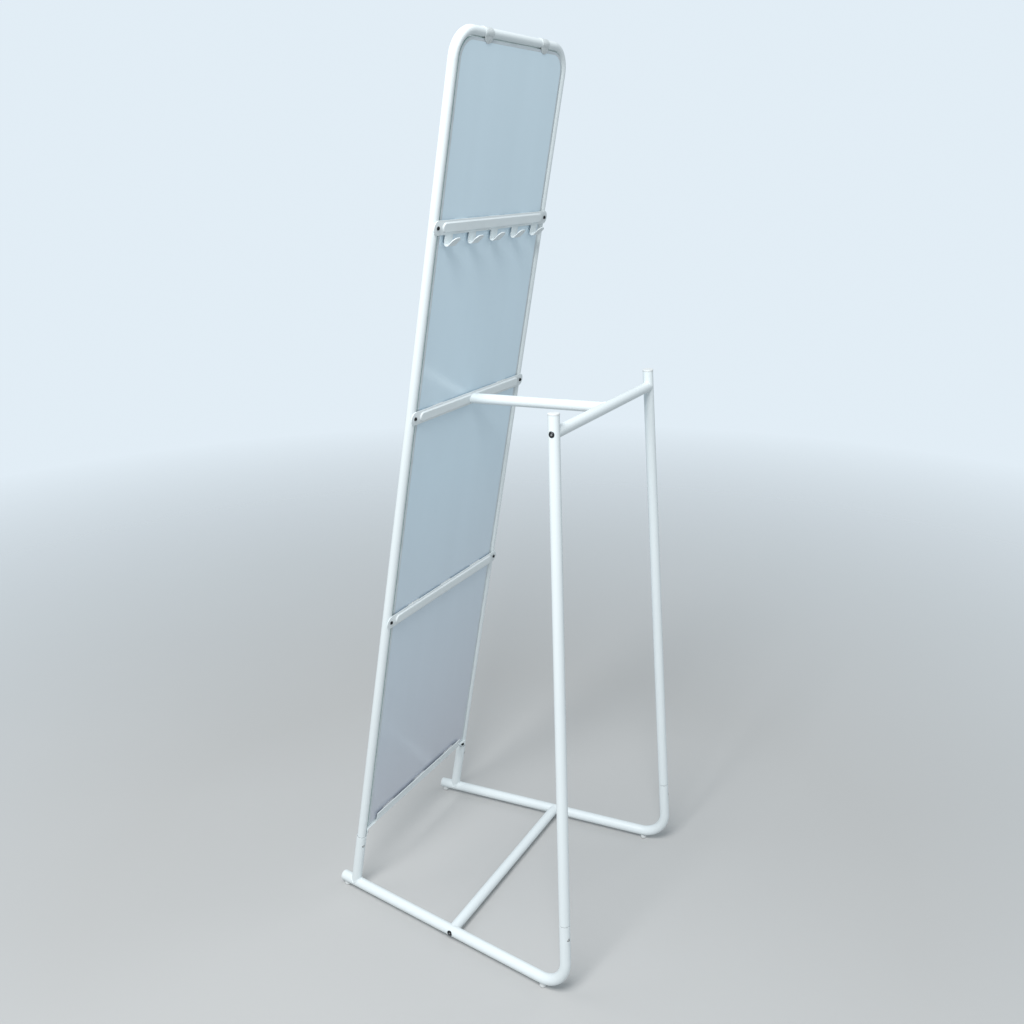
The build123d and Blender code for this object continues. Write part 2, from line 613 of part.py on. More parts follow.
# ---- foam pads between the glass and what crosses behind it -----------------------------------
PAD_LENGTH = 34.0
PAD_X = 107.0
PAD_HEIGHT = BAR_HEIGHT - 2.0
RAIL_PAD_HEIGHT = 10.0
RAIL_PAD_UP = GLASS_BOTTOM + FILM_INSET + 1.0


def foam_pads():
    group = []
    start = GLASS_BACK + FILM
    behind = FR - start
    behind_rail = RAIL_BACK - SHEET - start
    for x in (-PAD_X, 0, PAD_X):
        for level in BAR_LEVELS.values():
            if x or level != BAR_LEVELS["middle_crossbar"]:
                pad = Pos(x, level, start + behind / 2) * Box(PAD_LENGTH, PAD_HEIGHT, behind)
                group.append(MIRROR * pad)
        middle = Pos(x, RAIL_PAD_UP + RAIL_PAD_HEIGHT / 2, start + behind_rail / 2)
        group.append(MIRROR * (middle * Box(PAD_LENGTH, RAIL_PAD_HEIGHT, behind_rail)))
    return Compound(children=group)


nodes["foam_pads"] = foam_pads()


# ---- small screws -----------------------------------------------------------------------------
PAN_EDGE = 0.45              # share of a pan head's rise that stands straight
PAN_WIDE = 0.72              # share of its radius where the top has risen by
PAN_HIGH = 0.88              # this share of the rise
RECESS_LENGTH = 3.8
RECESS_WIDTH = 1.1
RECESS_DEPTH = 0.65          # share of the rise


def pan_screw(seat, outward, length, rise):
    """Pan head screw with a cross recess; seat is the point under its head."""
    radius, edge = CROSS_HEAD / 2, rise * PAN_EDGE
    side = Polyline((0, 0), (radius, 0), (radius, edge), close=False)
    dome = ThreePointArc((radius, edge), (radius * PAN_WIDE, rise * PAN_HIGH), (0, rise))
    profile = make_face(side + dome + Line((0, rise), (0, 0)))
    body = revolve(Plane.XZ * profile, axis=Axis.Z) + extrude(Circle(CROSS_D / 2), amount=-length)
    body = chamfer(body.faces().sort_by(Axis.Z)[0].edges(), CROSS_D / 7)
    for turn in (0, 90):
        slot = Box(RECESS_LENGTH, RECESS_WIDTH, 2 * RECESS_DEPTH * rise)
        body -= Rot(0, 0, turn) * Pos(0, 0, rise) * slot
    return Plane(origin=seat, z_dir=outward) * body


def crossbar_screws():
    group = []
    for level in BAR_LEVELS.values():
        for side in (-1, 1):
            seat = on_mirror(side * LEG_X, level, STRIP_FACE)
            group.append(pan_screw(seat, leg_rear, BAR_SCREW_LENGTH, BAR_SCREW_RISE))
    return Compound(children=group)


def rail_screws():
    group = []
    for side in (-1, 1):
        outward = saddle_direction(side)
        seat = on_mirror(side * LEG_X, RAIL_SCREW_UP, 0) + outward * STRIP_FACE
        group.append(pan_screw(seat, outward, RAIL_SCREW_LENGTH, RAIL_SCREW_RISE))
    return Compound(children=group)


def seam_screws(seats):
    """Screws whose heads sit on the inner tube, in a hole of the tube round it."""
    group = []
    for seat, outward in seats:
        group.append(button_screw(seat, outward, SEAM_HEAD, SEAM_RISE, SEAM_D, SEAM_LENGTH, SEAM_SOCKET))
    return Compound(children=group)


def front_seat(side):
    outward = seam_direction(side, leg_axis)
    return on_mirror(side * LEG_X, FRONT_SEAM - FRONT_SEAM_SCREW, 0) + outward * FR, outward


def rear_seat(side):
    outward = seam_direction(side, upright_axis(side))
    return seam_point(side, -REAR_SEAM_SCREW) + outward * SPIGOT, outward


nodes["crossbar_screws"] = crossbar_screws()
nodes["bottom_rail_screws"] = rail_screws()
nodes["front_seam_screws"] = seam_screws([front_seat(-1), front_seat(1)])
nodes["rear_seam_screws"] = seam_screws([rear_seat(-1), rear_seat(1)])

os.makedirs("parts", exist_ok=True)
for name, shape in nodes.items():
    export_step(shape, f"parts/{name}.step")
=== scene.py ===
import json
from math import acos, atan2, cos, pi, radians, sin, sqrt, tan

import bmesh
import bpy
from mathutils import Matrix, Vector


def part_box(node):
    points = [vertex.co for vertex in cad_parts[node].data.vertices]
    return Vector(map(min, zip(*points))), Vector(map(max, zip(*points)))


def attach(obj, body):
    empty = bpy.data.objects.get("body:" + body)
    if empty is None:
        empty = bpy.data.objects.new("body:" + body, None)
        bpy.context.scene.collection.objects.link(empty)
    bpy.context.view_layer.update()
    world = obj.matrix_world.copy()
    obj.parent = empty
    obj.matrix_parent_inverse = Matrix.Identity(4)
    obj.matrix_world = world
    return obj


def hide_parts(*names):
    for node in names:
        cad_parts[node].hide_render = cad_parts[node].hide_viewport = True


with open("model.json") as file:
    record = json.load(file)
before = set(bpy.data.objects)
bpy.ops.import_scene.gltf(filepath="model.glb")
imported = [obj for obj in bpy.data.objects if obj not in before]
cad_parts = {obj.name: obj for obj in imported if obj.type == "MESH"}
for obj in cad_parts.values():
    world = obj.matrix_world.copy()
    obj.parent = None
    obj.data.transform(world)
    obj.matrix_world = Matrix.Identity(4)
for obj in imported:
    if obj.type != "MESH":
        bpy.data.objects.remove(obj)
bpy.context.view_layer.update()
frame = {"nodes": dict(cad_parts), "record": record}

# Looks for the standing mirror with a clothes rack.  Metres, +Z up, the mirror faces -Y.

MM = 0.001

# ---- sizes read from the frame -------------------------------------------------------------------
plug_low, plug_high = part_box("runner_end_plug_right")
_, frame_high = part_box("mirror_frame")
rail_low, rail_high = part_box("rack_rail")

BASE_R = (plug_high.z - plug_low.z) / 2
RUNNER_Z = (plug_high.z + plug_low.z) / 2
FRAME_R = 8.25 * MM
LEG_X = frame_high.x - FRAME_R
LEAN = radians(10.0)
LEG_Y = -231.8 * MM
LEG_TOP = (frame_high.z - FRAME_R - RUNNER_Z) / cos(LEAN)

# ---- sizes of the pressed and moulded pieces -----------------------------------------------------
SHEET = 1.5 * MM
GLASS = 4.0 * MM
GLASS_BACK = 5.5 * MM            # leg axis plane to the back of the glass
GLASS_BOTTOM = 127.0 * MM        # runner axis to the lower edge of the glass, along the leg
SIDE_GAP = 0.5 * MM              # gap between the glass and the frame's legs
TOP_GAP = 0.3 * MM               # gap between the glass and the frame's top tube
CORNER_R = 44.5 * MM
FILM = 0.25 * MM
FILM_INSET = 4.0 * MM
FILM_HIGHLIGHT_RIM = 1.3 * MM              # pale rim along the film's edge, a painted highlight
BAR_LEVELS = {"hook_bar": 1297.0 * MM, "middle_crossbar": 974.5 * MM, "lower_crossbar": 584.0 * MM}
BAR_HALF_LENGTH = 189.0 * MM
BAR_HALF_HEIGHT = 12.0 * MM
CHANNEL_HALF_LENGTH = 166.0 * MM
CHANNEL_HALF_HEIGHT = 8.75 * MM
CHANNEL_RISE = 2.6 * MM
CHANNEL_SLOPE = 1.4 * MM         # how far the channel's side leans in over its rise
HOOK_PITCH = 71.5 * MM
HOOK_WIDTH = 22.5 * MM
HOOK_R = 5.0 * MM
HOOK_TURN = radians(142)
HOOK_DROP = 25.5 * MM
HOOK_TAIL = 18.5 * MM
HOOK_TIP_ROUND = 9.0 * MM
HOOK_OVERLAP = 1.2 * MM          # how far each hook runs up into its bar
CLIP_X = 93.0 * MM
CLIP_WIDTH = 24.0 * MM
CLIP_THICK = 0.9 * MM
CLIP_TONGUE = 16.0 * MM
CLIP_LIP = 14.0 * MM
CLIP_LIP_ROUND = 5.0 * MM
CLIP_TONGUE_ROUND = 11.0 * MM
CLIP_EDGE = 0.4 * MM
CLIP_SLACK = 0.08 * MM           # between a clip's tongues and the glass or its film
RAIL_BACK = GLASS_BACK + 4.6 * MM
RAIL_FRONT = GLASS_BACK - GLASS - 1.8 * MM
LIP_HALF = 147.0 * MM
LIP_HEIGHT = 19.0 * MM
TROUGH_ROUND = 1.5 * MM          # corners at the ends of the folded sheet
LIP_FLARE = 2.0 * MM             # how far the upper edge of the bottom rail turns out, at 45 degrees
FRONT_LIP = 6.0 * MM
FLANGE_WIDTH = 12.0 * MM
FLANGE_DROP = 14.0 * MM
FLANGE_ROUND = 4.0 * MM
EDGE = 0.35 * MM                 # rounding of sheet edges
JOIN_STEP = 0.03 * MM            # keeps the faces of joined pieces from coinciding
FRONT_SEAM = 110.0 * MM          # runner axis to the lip of the front stubs
REAR_SEAM = 124.0 * MM           # runner axis to the lip of the risers, along the uprights
SEAM_GAP = 1.0 * MM              # open groove between a riser and its upright


def on_mirror(x, up, back):
    """World point at x, a distance up the legs and a distance behind their axis plane."""
    y = LEG_Y + up * sin(LEAN) + back * cos(LEAN)
    z = RUNNER_Z + up * cos(LEAN) - back * sin(LEAN)
    return Vector((x, y, z))


# ---- materials -----------------------------------------------------------------------------------
class Shader:
    """A principled material with helpers for procedural detail in object space."""

    def __init__(self, name, color, roughness, **sockets):
        self.material = bpy.data.materials.new(name)
        self.material.use_nodes = True
        self.nodes = self.material.node_tree.nodes
        self.links = self.material.node_tree.links
        self.main = self.nodes["Principled BSDF"]
        self.main.inputs["Base Color"].default_value = (*color, 1)
        self.main.inputs["Roughness"].default_value = roughness
        for socket, value in sockets.items():
            self.main.inputs[socket.replace("_", " ")].default_value = value
        self.place = self.nodes.new("ShaderNodeTexCoord").outputs["Object"]
        self.height = None

    def noise(self, scale, detail=2.0, stretch=(1, 1, 1)):
        mapping = self.nodes.new("ShaderNodeMapping")
        mapping.inputs["Scale"].default_value = stretch
        texture = self.nodes.new("ShaderNodeTexNoise")
        texture.inputs["Scale"].default_value = scale
        texture.inputs["Detail"].default_value = detail
        self.links.new(self.place, mapping.inputs["Vector"])
        self.links.new(mapping.outputs["Vector"], texture.inputs["Vector"])
        return texture.outputs["Fac"]

    def spread(self, source, low, high, start=0.3, stop=0.7):
        """Maps a texture's middle range to values between low and high."""
        ramp = self.nodes.new("ShaderNodeMapRange")
        ramp.inputs["From Min"].default_value = start
        ramp.inputs["From Max"].default_value = stop
        ramp.inputs["To Min"].default_value = low
        ramp.inputs["To Max"].default_value = high
        self.links.new(source, ramp.inputs["Value"])
        return ramp.outputs["Result"]

    def vary_color(self, source, low, high, start=0.3, stop=0.7):
        """Colour drifts between two tints with a texture."""
        ramp = self.nodes.new("ShaderNodeValToRGB")
        ramp.color_ramp.elements[0].position = start
        ramp.color_ramp.elements[0].color = (*low, 1)
        ramp.color_ramp.elements[1].position = stop
        ramp.color_ramp.elements[1].color = (*high, 1)
        self.links.new(source, ramp.inputs["Fac"])
        self.links.new(ramp.outputs["Color"], self.main.inputs["Base Color"])

    def grade_color(self, stops, variation):
        """Colour runs through (height in metres, tint) stops up the object, times a fine variation."""
        split = self.nodes.new("ShaderNodeSeparateXYZ")
        self.links.new(self.place, split.inputs["Vector"])
        lowest, highest = stops[0][0], stops[-1][0]
        share = self.spread(split.outputs["Z"], 0, 1, lowest, highest)
        ramp = self.nodes.new("ShaderNodeValToRGB")
        while len(ramp.color_ramp.elements) < len(stops):
            ramp.color_ramp.elements.new(0.5)
        for element, (height, tint) in zip(ramp.color_ramp.elements, stops):
            element.position = (height - lowest) / (highest - lowest)
            element.color = (*tint, 1)
        blend = self.nodes.new("ShaderNodeVectorMath")
        blend.operation = "SCALE"
        self.links.new(share, ramp.inputs["Fac"])
        self.links.new(ramp.outputs["Color"], blend.inputs["Vector"])
        self.links.new(variation, blend.inputs["Scale"])
        self.links.new(blend.outputs["Vector"], self.main.inputs["Base Color"])

    def darken_below(self, start, axis, level, factor):
        """Scales the colour down below a distance along an axis from start, as painted shade."""
        offset = self.nodes.new("ShaderNodeVectorMath")
        offset.operation = "SUBTRACT"
        offset.inputs[1].default_value = start
        along = self.nodes.new("ShaderNodeVectorMath")
        along.operation = "DOT_PRODUCT"
        along.inputs[1].default_value = axis
        scaled = self.nodes.new("ShaderNodeVectorMath")
        scaled.operation = "SCALE"
        painted = self.main.inputs["Base Color"].links[0].from_socket
        edge = 0.05 * MM
        self.links.new(self.place, offset.inputs[0])
        self.links.new(offset.outputs["Vector"], along.inputs[0])
        self.links.new(painted, scaled.inputs["Vector"])
        share = self.spread(along.outputs["Value"], factor, 1, level - edge, level + edge)
        self.links.new(share, scaled.inputs["Scale"])
        self.links.new(scaled.outputs["Vector"], self.main.inputs["Base Color"])

    def vary_roughness(self, source, low, high):
        self.links.new(self.spread(source, low, high), self.main.inputs["Roughness"])

    def bump(self, source, depth, strength=1.0):
        """Adds surface relief; depth is the height of the texture's range in metres."""
        node = self.nodes.new("ShaderNodeBump")
        node.inputs["Distance"].default_value = depth
        node.inputs["Strength"].default_value = strength
        self.links.new(source, node.inputs["Height"])
        if self.height is not None:
            self.links.new(self.height, node.inputs["Normal"])
        self.height = node.outputs["Normal"]
        self.links.new(self.height, self.main.inputs["Normal"])


def shade(color, factor):
    return tuple(channel * factor for channel in color)


# tints of the film up its height in metres: the darker grey low down and the paler blue high up are painted
# shade and reflection
FILM_TINTS_WITH_PAINTED_SHADE = ((0.15, (0.57, 0.60, 0.67)), (0.85, (0.68, 0.83, 0.93)), (1.55, (0.75, 0.90, 0.99)))


def powder_coat(name="powder_coat", seam_shade=None):
    white = (0.78, 0.835, 0.85)
    coat = Shader(name, white, 0.36)
    coat.vary_color(coat.noise(5.0), shade(white, 0.97), white)
    coat.vary_roughness(coat.noise(60.0), 0.32, 0.42)
    coat.bump(coat.noise(700.0, 3.0), 0.012 * MM)
    # painted shade: below its seam the coat's colour drops to 4 percent, so the open seam groove looks dark
    if seam_shade:
        coat.darken_below(*seam_shade, 0.04)
    return coat.material


def satin_plastic(name, color, roughness):
    plastic = Shader(name, color, roughness, IOR=1.49)
    plastic.vary_color(plastic.noise(40.0), shade(color, 0.97), color)
    plastic.vary_roughness(plastic.noise(300.0), roughness - 0.05, roughness + 0.06)
    plastic.bump(plastic.noise(1500.0, 2.0), 0.01 * MM)
    return plastic.material


def clear_white_plastic():
    color = (0.80, 0.85, 0.86)
    plastic = Shader("clear_white_plastic", color, 0.3, Transmission_Weight=0.2, IOR=1.5)
    plastic.vary_color(plastic.noise(200.0), shade(color, 0.95), color)
    plastic.vary_roughness(plastic.noise(400.0), 0.26, 0.36)
    plastic.bump(plastic.noise(900.0), 0.01 * MM)
    return plastic.material


def mirror_silver():
    silver = Shader("mirror_silver", (0.90, 0.93, 0.93), 0.015, Metallic=1.0)
    silver.vary_roughness(silver.noise(9.0, 4.0), 0.008, 0.022)
    return silver.material


def glass_edge():
    edge = Shader("glass_edge", (0.52, 0.66, 0.64), 0.08, Coat_Weight=0.6)
    edge.vary_color(edge.noise(220.0, 3.0), (0.44, 0.58, 0.56), (0.60, 0.73, 0.70))
    edge.vary_roughness(edge.noise(500.0), 0.05, 0.18)
    return edge.material


def back_paint():
    color = (0.64, 0.70, 0.74)
    paint = Shader("back_paint", color, 0.42)
    paint.vary_color(paint.noise(30.0, 3.0), shade(color, 0.85), shade(color, 1.05))
    paint.bump(paint.noise(250.0, 3.0), 0.02 * MM)
    return paint.material


def film():
    """Blue-grey film over the back of the glass, with faint streaks along its roll; greyer and darker low
    down and paler higher up, as painted shade and reflection.
    """
    sheet = Shader("safety_film", FILM_TINTS_WITH_PAINTED_SHADE[1][1], 0.22, Coat_Weight=0.3, Coat_Roughness=0.16)
    streaks = sheet.noise(9.0, 3.0, (1.0, 0.12, 0.12))
    sheet.grade_color(FILM_TINTS_WITH_PAINTED_SHADE, sheet.spread(streaks, 0.975, 1.02))
    sheet.vary_roughness(sheet.noise(60.0, 2.0), 0.215, 0.235)
    sheet.bump(sheet.noise(300.0, 2.0), 0.004 * MM)
    return sheet.material


# pale band along the film's edge, a painted highlight where the edge would catch the light
def film_highlight_rim():
    color = (0.60, 0.66, 0.69)
    rim = Shader("film_highlight_rim", color, 0.35)
    rim.vary_color(rim.noise(120.0, 3.0), shade(color, 0.92), shade(color, 1.05))
    rim.bump(rim.noise(400.0, 2.0), 0.02 * MM)
    return rim.material


def fastener(name, color, low, high):
    metal = Shader(name, color, low, Metallic=0.85)
    metal.vary_color(metal.noise(700.0, 3.0), shade(color, 0.75), shade(color, 1.2))
    metal.vary_roughness(metal.noise(900.0, 3.0), low, high)
    return metal.material


def foam():
    color = (0.62, 0.63, 0.62)
    pad = Shader("foam", color, 0.9)
    pad.vary_color(pad.noise(900.0, 4.0), shade(color, 0.8), color)
    pad.bump(pad.noise(1200.0, 4.0), 0.15 * MM)
    return pad.material


FLOOR_FADE = (0.8, 3.6)          # where the floor starts and ends fading out, metres from the object


def floor_surface():
    """Pale matt floor that fades out far from the object."""
    color = (0.52, 0.52, 0.515)
    ground = Shader("pale_floor", color, 0.6)
    ground.vary_color(ground.noise(1.5, 3.0), shade(color, 0.98), color)
    ground.bump(ground.noise(80.0, 4.0), 0.1 * MM)
    distance = ground.nodes.new("ShaderNodeVectorMath")
    distance.operation = "LENGTH"
    clear = ground.nodes.new("ShaderNodeBsdfTransparent")
    fade = ground.nodes.new("ShaderNodeMixShader")
    ground.links.new(ground.place, distance.inputs[0])
    clearing = ground.spread(distance.outputs["Value"], 0, 1, *FLOOR_FADE)
    ground.links.new(clearing, fade.inputs[0])
    ground.links.new(ground.main.outputs["BSDF"], fade.inputs[1])
    ground.links.new(clear.outputs["BSDF"], fade.inputs[2])
    ground.links.new(fade.outputs["Shader"], ground.nodes["Material Output"].inputs["Surface"])
    return ground.material


MATERIALS = {
    "white_powder_coat": powder_coat(),
    "white_plastic": satin_plastic("white_plastic", (0.74, 0.76, 0.76), 0.42),
    "clear_white_plastic": clear_white_plastic(),
    "mirror_glass": mirror_silver(),
    "safety_film": film(),
    "dark_fastener": fastener("dark_fastener", (0.035, 0.037, 0.04), 0.3, 0.5),
    "zinc_insert": fastener("zinc_insert", (0.55, 0.56, 0.55), 0.28, 0.42),
    "foam": foam(),
}

for part in frame["record"]["subparts"]:
    node = frame["nodes"][part["node"]]
    node.data.materials.clear()
    node.data.materials.append(MATERIALS[part["material_slot"]])

# painted shade: what plugs into a base tube is coloured almost black below its seam, so the open seams look
# dark
leg_axis = Vector((0, sin(LEAN), cos(LEAN)))
leg_foot = Vector((0, LEG_Y, RUNNER_Z))
frame["nodes"]["mirror_frame"].data.materials[0] = powder_coat("frame_coat", (leg_foot, leg_axis, FRONT_SEAM))
for side_name in ("left", "right"):
    runner_low, runner_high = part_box("runner_" + side_name)
    cap_low, cap_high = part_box("upright_cap_" + side_name)
    corner_x = runner_high.x - BASE_R if side_name == "right" else runner_low.x + BASE_R
    corner = Vector((corner_x, runner_high.y - BASE_R, RUNNER_Z))
    upright_axis = ((cap_low + cap_high) / 2 - corner).normalized()
    # painted shade in the groove between riser and upright, from just above the riser's lip down
    seam_shade = (corner, upright_axis, REAR_SEAM + SEAM_GAP - 0.1 * MM)
    frame["nodes"]["upright_" + side_name].data.materials[0] = powder_coat("upright_coat_" + side_name, seam_shade)


# ---- mesh tools ----------------------------------------------------------------------------------
def finish_mesh(name, build, materials, smooth_angle=40):
    """Turns a bmesh into a smooth-shaded object with outward faces."""
    bmesh.ops.recalc_face_normals(build, faces=build.faces)
    mesh = bpy.data.meshes.new(name)
    build.to_mesh(mesh)
    build.free()
    for material in materials:
        mesh.materials.append(material)
    mesh.shade_smooth()
    mesh.set_sharp_from_angle(angle=radians(smooth_angle))
    piece = bpy.data.objects.new(name, mesh)
    bpy.context.scene.collection.objects.link(piece)
    return piece


def loft(rings, closed=False):
    """Bmesh skin through rings of points with equal counts, with flat caps unless it closes on itself."""
    build = bmesh.new()
    rows = [[build.verts.new(point) for point in ring] for ring in rings]
    count = len(rows[0])
    spans = list(zip(rows, rows[1:]))
    if closed:
        spans.append((rows[-1], rows[0]))
    for first, second in spans:
        for i in range(count):
            j = (i + 1) % count
            build.faces.new((first[i], first[j], second[j], second[i]))
    if not closed:
        build.faces.new(rows[0])
        build.faces.new(rows[-1])
    return build


def stand_for(piece, slot, *nodes):
    """The piece rides on the one body and takes the place of CAD nodes."""
    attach(piece, "root")
    if nodes:
        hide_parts(*nodes)
    return piece


def union(first, *others):
    """Joins closed meshes into the first one and removes the rest."""
    for other in others:
        cut = first.modifiers.new("join", "BOOLEAN")
        cut.operation = "UNION"
        cut.solver = "EXACT"
        cut.object = other
        bpy.context.view_layer.update()
        graph = bpy.context.evaluated_depsgraph_get()
        mesh = bpy.data.meshes.new_from_object(first.evaluated_get(graph))
        first.modifiers.clear()
        first.data = mesh
        bpy.data.objects.remove(other)
    first.data.set_sharp_from_angle(angle=radians(35))
    return first


def arc(center, radius, start, stop, steps):
    """Points on a circle from one angle to another, both included."""
    return [(center[0] + radius * cos(start + (stop - start) * i / steps),
             center[1] + radius * sin(start + (stop - start) * i / steps)) for i in range(steps + 1)]


def stadium(half_length, half_height, steps=20):
    """Outline of a bar with half-round ends, as (x, up) points."""
    flat = half_length - half_height
    right = arc((flat, 0), half_height, -pi / 2, pi / 2, steps)
    left = arc((-flat, 0), half_height, pi / 2, 3 * pi / 2, steps)
    return right + left


def rounded_outline(corners, steps=10):
    """Closed outline through (x, y, radius) corners, given anticlockwise."""
    points = []
    for i, (x, y, radius) in enumerate(corners):
        here = Vector((x, y))
        before = Vector(corners[i - 1][:2]) - here
        after = Vector(corners[(i + 1) % len(corners)][:2]) - here
        if radius <= 0:
            points.append((x, y))
            continue
        half = before.angle(after) / 2
        middle = here + (before.normalized() + after.normalized()).normalized() * (radius / sin(half))
        start = here + before.normalized() * (radius / tan(half)) - middle
        stop = here + after.normalized() * (radius / tan(half)) - middle
        first = atan2(start.y, start.x)
        sweep = (atan2(stop.y, stop.x) - first + pi) % (2 * pi) - pi
        points += arc(middle, radius, first, first + sweep, steps)
    return points


def inset(outline, distance):
    """The outline moved inward by a distance; it runs anticlockwise."""
    moved = []
    count = len(outline)
    for i in range(count):
        here = Vector(outline[i])
        before = (here - Vector(outline[i - 1])).normalized()
        after = (Vector(outline[(i + 1) % count]) - here).normalized()
        normal = Vector((-before.y - after.y, before.x + after.x)).normalized()
        lean = max(0.3, normal.dot(Vector((-after.y, after.x))))
        moved.append(tuple(here + normal * (distance / lean)))
    return moved


def slab(outline, start, thickness, edge, place):
    """Rings of a flat plate with rounded edges; place turns (x, y, height) into a world point."""
    rings = []
    for share in (0, 0.3, 0.65, 1):
        angle = share * pi / 2
        rings.append((edge * (1 - sin(angle)), start + edge * (1 - cos(angle))))
    top = start + thickness
    rings += [(depth, top + start - height) for depth, height in rings[::-1]]
    return [[place(x, y, height) for x, y in inset(outline, depth)] for depth, height in rings]


def smooth_path(points, radii, steps=8):
    """Open 2D path with rounded corners; radii has one value for each inner point."""
    path = [Vector(points[0])]
    for i, radius in enumerate(radii, 1):
        here = Vector(points[i])
        before = (Vector(points[i - 1]) - here)
        after = (Vector(points[i + 1]) - here)
        half = before.angle(after) / 2
        if radius <= 0 or half > pi / 2 - 0.01:
            path.append(here)
            continue
        middle = here + (before.normalized() + after.normalized()).normalized() * (radius / sin(half))
        start = here + before.normalized() * (radius / tan(half)) - middle
        stop = here + after.normalized() * (radius / tan(half)) - middle
        first = atan2(start.y, start.x)
        sweep = (atan2(stop.y, stop.x) - first + pi) % (2 * pi) - pi
        path += [Vector(point) for point in arc(middle, radius, first, first + sweep, steps)]
    path.append(Vector(points[-1]))
    return path


def resample_ends(path, reach, steps=8):
    """Adds points near both ends of a path so that rounded ends are smooth."""
    def split(points):
        first, second = points[0], points[1]
        length = (second - first).length
        reach_here = min(reach, length * 0.98)
        extra = [first + (second - first) * (reach_here * (1 - cos(pi / 2 * i / steps)) / length)
                 for i in range(1, steps + 1)]
        return [first] + extra + points[1:]
    return split(split(path)[::-1])[::-1]


def bent_strip(path, width, thickness, start_round, end_round, place, x=0.0, edge=EDGE):
    """Sheet strip bent along a 2D path of (back, up) points, with rounded ends."""
    path = resample_ends(path, max(start_round, end_round, 1e-4))
    lengths = [0.0]
    for first, second in zip(path, path[1:]):
        lengths.append(lengths[-1] + (second - first).length)
    total = lengths[-1]

    def half_width(travelled):
        trim = 0.0
        for radius, distance in ((start_round, travelled), (end_round, total - travelled)):
            if radius > 0 and distance < radius:
                trim = max(trim, radius - sqrt(max(0.0, radius ** 2 - (radius - distance) ** 2)))
        return width / 2 - trim

    rings = []
    last = len(path) - 1
    for i, point in enumerate(path):
        ahead = path[min(i + 1, last)] - path[max(i - 1, 0)]
        normal = Vector((-ahead.y, ahead.x)).normalized()
        half = half_width(lengths[i])
        ends = i in (0, last)
        thick = thickness / 2 - (edge * 0.6 if ends else 0)
        section = rounded_outline([(-half, -thick, edge), (half, -thick, edge), (half, thick, edge),
                                   (-half, thick, edge)], 3)
        rings.append([place(x + across, point.y + normal.y * off, point.x + normal.x * off)
                      for across, off in section])
    return loft(rings)


def lathe(axis_start, axis_dir, profile, steps=48):
    """Rings of a turned solid from (radius, height) points along an axis."""
    axis = Vector(axis_dir).normalized()
    side = axis.orthogonal().normalized()
    other = axis.cross(side)
    turns = [2 * pi * i / steps for i in range(steps)]
    return [[axis_start + axis * height + (side * cos(turn) + other * sin(turn)) * radius for turn in turns]
            for radius, height in profile]


# ---- the pressed strips and hooks ----------------------------------------------------------------
def strip(name, level, materials):
    """Pressed strip with rounded ends and a raised channel that is hollow in front."""
    rings = []

    def ring(trim, height, half_length=BAR_HALF_LENGTH, half_height=BAR_HALF_HEIGHT):
        outline = stadium(half_length - trim, half_height - trim)
        rings.append([on_mirror(x, level + up, FRAME_R + height) for x, up in outline])

    def channel(trim, height):
        ring(trim, height, CHANNEL_HALF_LENGTH, CHANNEL_HALF_HEIGHT)

    roof = SHEET + CHANNEL_RISE
    channel(SHEET + CHANNEL_SLOPE, CHANNEL_RISE)
    channel(SHEET, 0)
    for share in (0, 0.35, 0.7, 1):
        angle = share * pi / 2
        ring(EDGE * (1 - sin(angle)), EDGE * (1 - cos(angle)))
    for share in (1, 0.7, 0.35, 0):
        angle = share * pi / 2
        ring(EDGE * (1 - sin(angle)), SHEET - EDGE * (1 - cos(angle)))
    for share in (0, 0.15, 0.35, 0.5, 0.65, 0.85, 1):
        ease = share * share * (3 - 2 * share)
        channel(-0.5 * MM + (CHANNEL_SLOPE + 1.0 * MM) * share, SHEET + CHANNEL_RISE * ease)
    channel(CHANNEL_SLOPE + 1.4 * MM, roof)
    return finish_mesh(name, loft(rings), materials, 50)


def hook(x, level, materials):
    """Tab that drops from the bar, curls back and ends in a rounded tail."""
    middle = HOOK_R - SHEET / 2
    root = HOOK_OVERLAP - BAR_HALF_HEIGHT
    center = (FRAME_R + HOOK_R, -HOOK_DROP)
    curl = arc(center, middle, pi, pi + HOOK_TURN, 18)
    tail = (curl[-1][0] + HOOK_TAIL * sin(HOOK_TURN), curl[-1][1] - HOOK_TAIL * cos(HOOK_TURN))
    path = [Vector((FRAME_R + SHEET / 2, root))] + [Vector(point) for point in curl] + [Vector(tail)]
    strip_mesh = bent_strip(path, HOOK_WIDTH, SHEET - JOIN_STEP, 0, HOOK_TIP_ROUND,
                            lambda across, up, back: on_mirror(across, level + up, back), x)
    return finish_mesh(f"hook_{x:.3f}", strip_mesh, materials)


coat = [MATERIALS["white_powder_coat"]]
for name, level in BAR_LEVELS.items():
    bar = strip("pressed_" + name, level, coat)
    if name == "hook_bar":
        hooks = [hook(count * HOOK_PITCH, level, coat) for count in range(-2, 3)]
        bar = union(bar, *hooks)
    stand_for(bar, "white_powder_coat", name)


